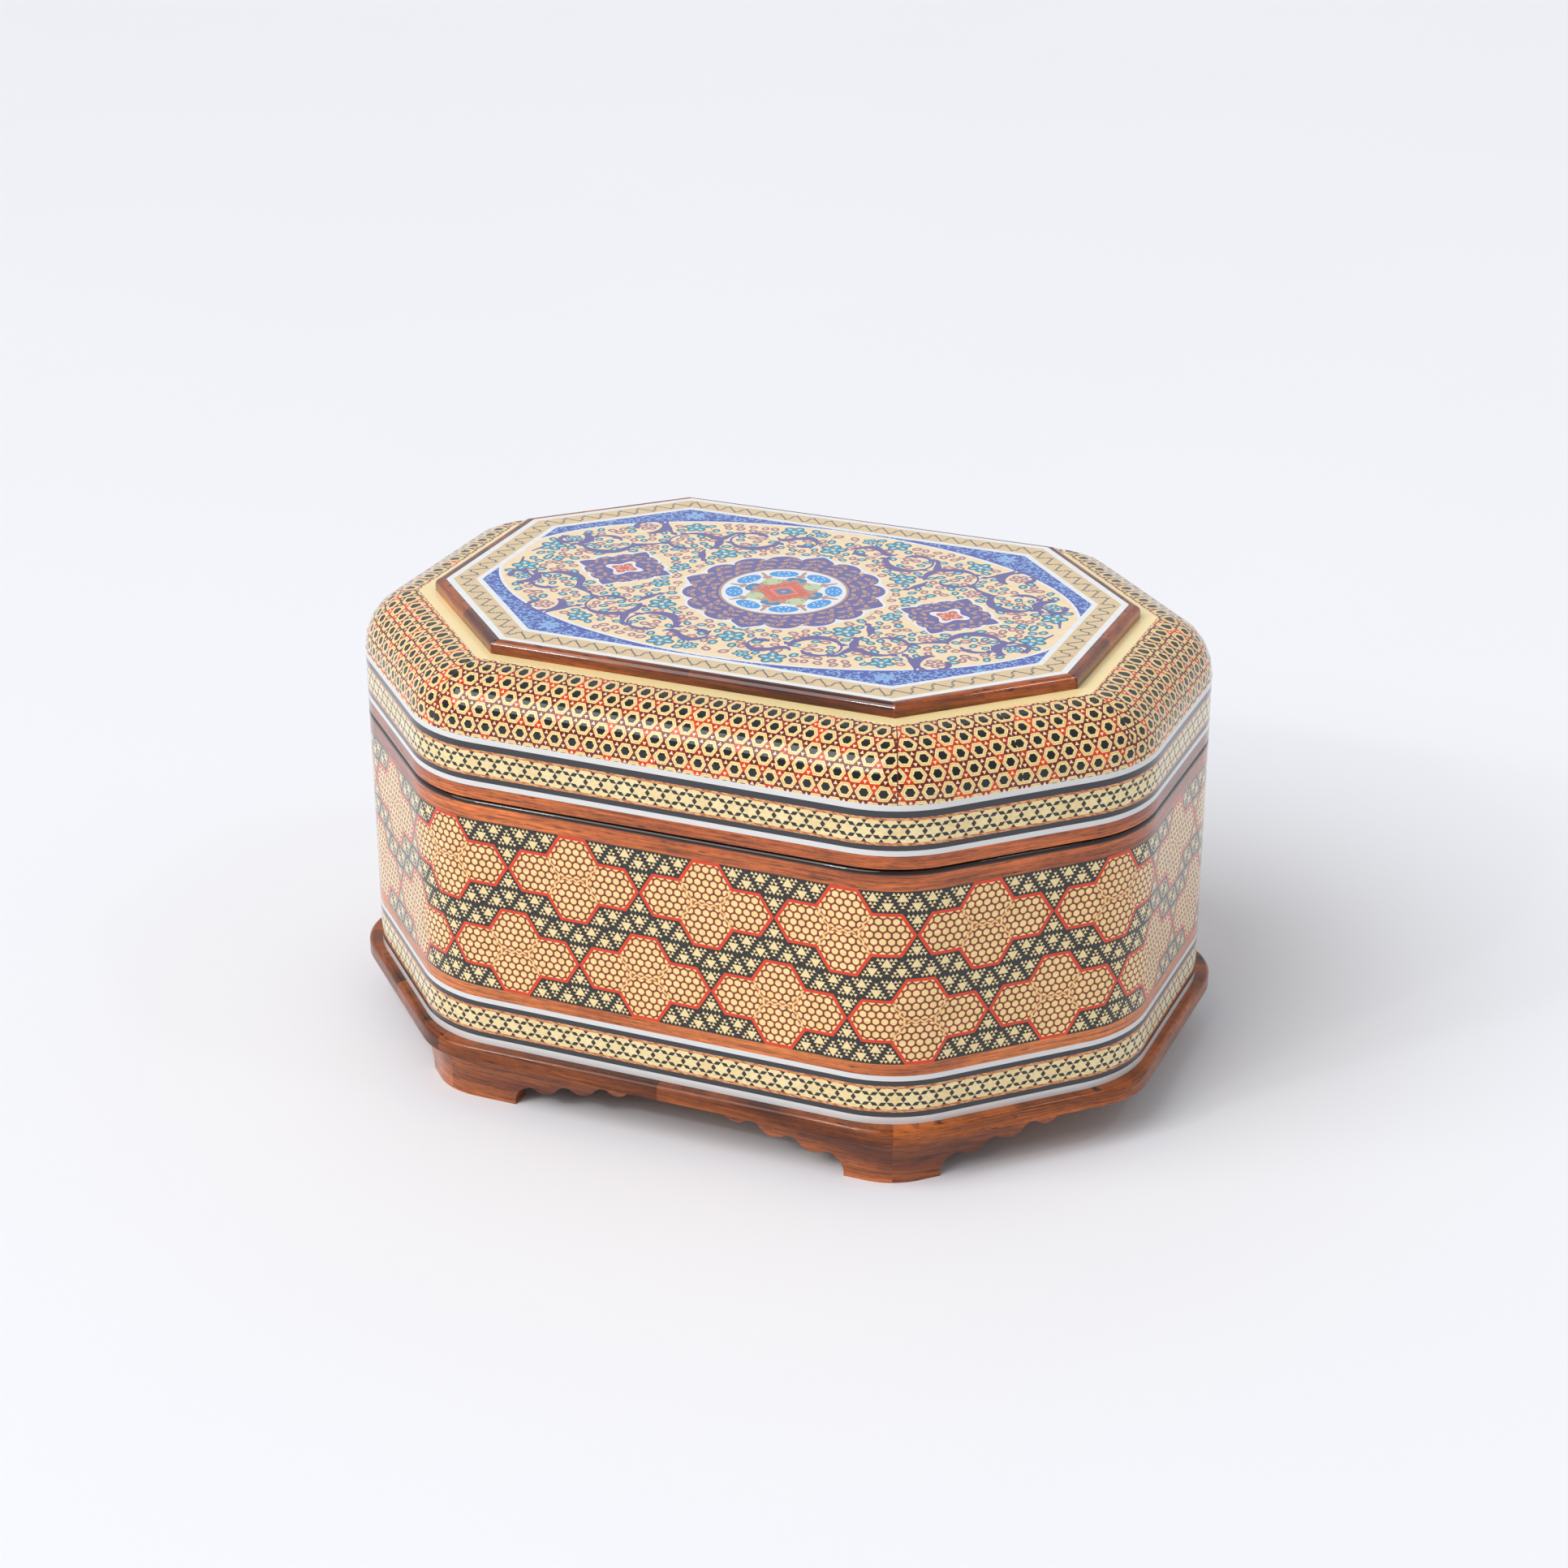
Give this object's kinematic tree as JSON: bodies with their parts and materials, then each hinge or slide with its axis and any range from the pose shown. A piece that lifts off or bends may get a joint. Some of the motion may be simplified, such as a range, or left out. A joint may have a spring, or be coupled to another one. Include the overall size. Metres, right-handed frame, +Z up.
{
  "type": "inlaid wooden box",
  "caption": "Octagonal inlaid wooden jewellery box on bracket feet, with a domed hinged lid, a painted top panel and a lined interior.",
  "frame": {"origin": "on the table under the middle of the box", "axes": "+Z up, X along the long axis, +Y towards the hinges"},
  "size_m": [0.205, 0.1526, 0.1111],
  "materials": {
    "walnut": "gloss lacquer",
    "carcass_wood": "satin",
    "khatam_field": "gloss lacquer over inlay",
    "khatam_flank": "gloss lacquer over inlay",
    "star_inlay": "gloss lacquer over inlay",
    "white_line": "gloss",
    "black_line": "gloss lacquer",
    "cream_bone": "gloss",
    "painted_miniature": "gloss lacquer over paint",
    "brass": "polished",
    "velvet": "matt pile"
  },
  "bodies": {
    "base": {"base_black_line_low": "black_line", "base_black_line_top": "black_line", "base_floor_board": "carcass_wood", "base_floor_cushion": "velvet", "base_khatam_field": "khatam_field", "base_plinth_moulding": "walnut", "base_rim_strip": "walnut", "base_star_band": "star_inlay", "base_wall_back": "carcass_wood", "base_wall_back_left": "carcass_wood", "base_wall_back_right": "carcass_wood", "base_wall_front": "carcass_wood", "base_wall_front_left": "carcass_wood", "base_wall_front_right": "carcass_wood", "base_wall_left": "carcass_wood", "base_wall_lining": "velvet", "base_wall_right": "carcass_wood", "base_walnut_strip": "walnut", "base_white_line_low": "white_line", "base_white_line_top": "white_line", "foot_back_left_long": "walnut", "foot_back_left_short": "walnut", "foot_back_right_long": "walnut", "foot_back_right_short": "walnut", "foot_front_left_long": "walnut", "foot_front_left_short": "walnut", "foot_front_right_long": "walnut", "foot_front_right_short": "walnut", "hinge_left_base_leaf": "brass", "hinge_left_pin": "brass", "hinge_right_base_leaf": "brass", "hinge_right_pin": "brass", "hinge_screws_base": "brass"},
    "lid": {"hinge_left_lid_leaf": "brass", "hinge_right_lid_leaf": "brass", "hinge_screws_lid": "brass", "lid_black_line_low": "black_line", "lid_black_line_top": "black_line", "lid_cream_strip": "cream_bone", "lid_khatam_flank": "khatam_flank", "lid_lip_strip": "walnut", "lid_painted_panel": "painted_miniature", "lid_panel_board": "carcass_wood", "lid_panel_moulding": "walnut", "lid_star_band": "star_inlay", "lid_top_block": "carcass_wood", "lid_top_lining": "velvet", "lid_wall_back": "carcass_wood", "lid_wall_back_left": "carcass_wood", "lid_wall_back_right": "carcass_wood", "lid_wall_front": "carcass_wood", "lid_wall_front_left": "carcass_wood", "lid_wall_front_right": "carcass_wood", "lid_wall_left": "carcass_wood", "lid_wall_lining": "velvet", "lid_wall_right": "carcass_wood", "lid_white_line_low": "white_line", "lid_white_line_top": "white_line"}
  },
  "joints": [
    {"name": "lid_hinge", "type": "hinge", "parent": "base", "child": "lid", "pos_m": [0, 0.0751, 0.0794], "axis": [-1, 0, 0], "range_deg": [0, 100]}
  ]
}
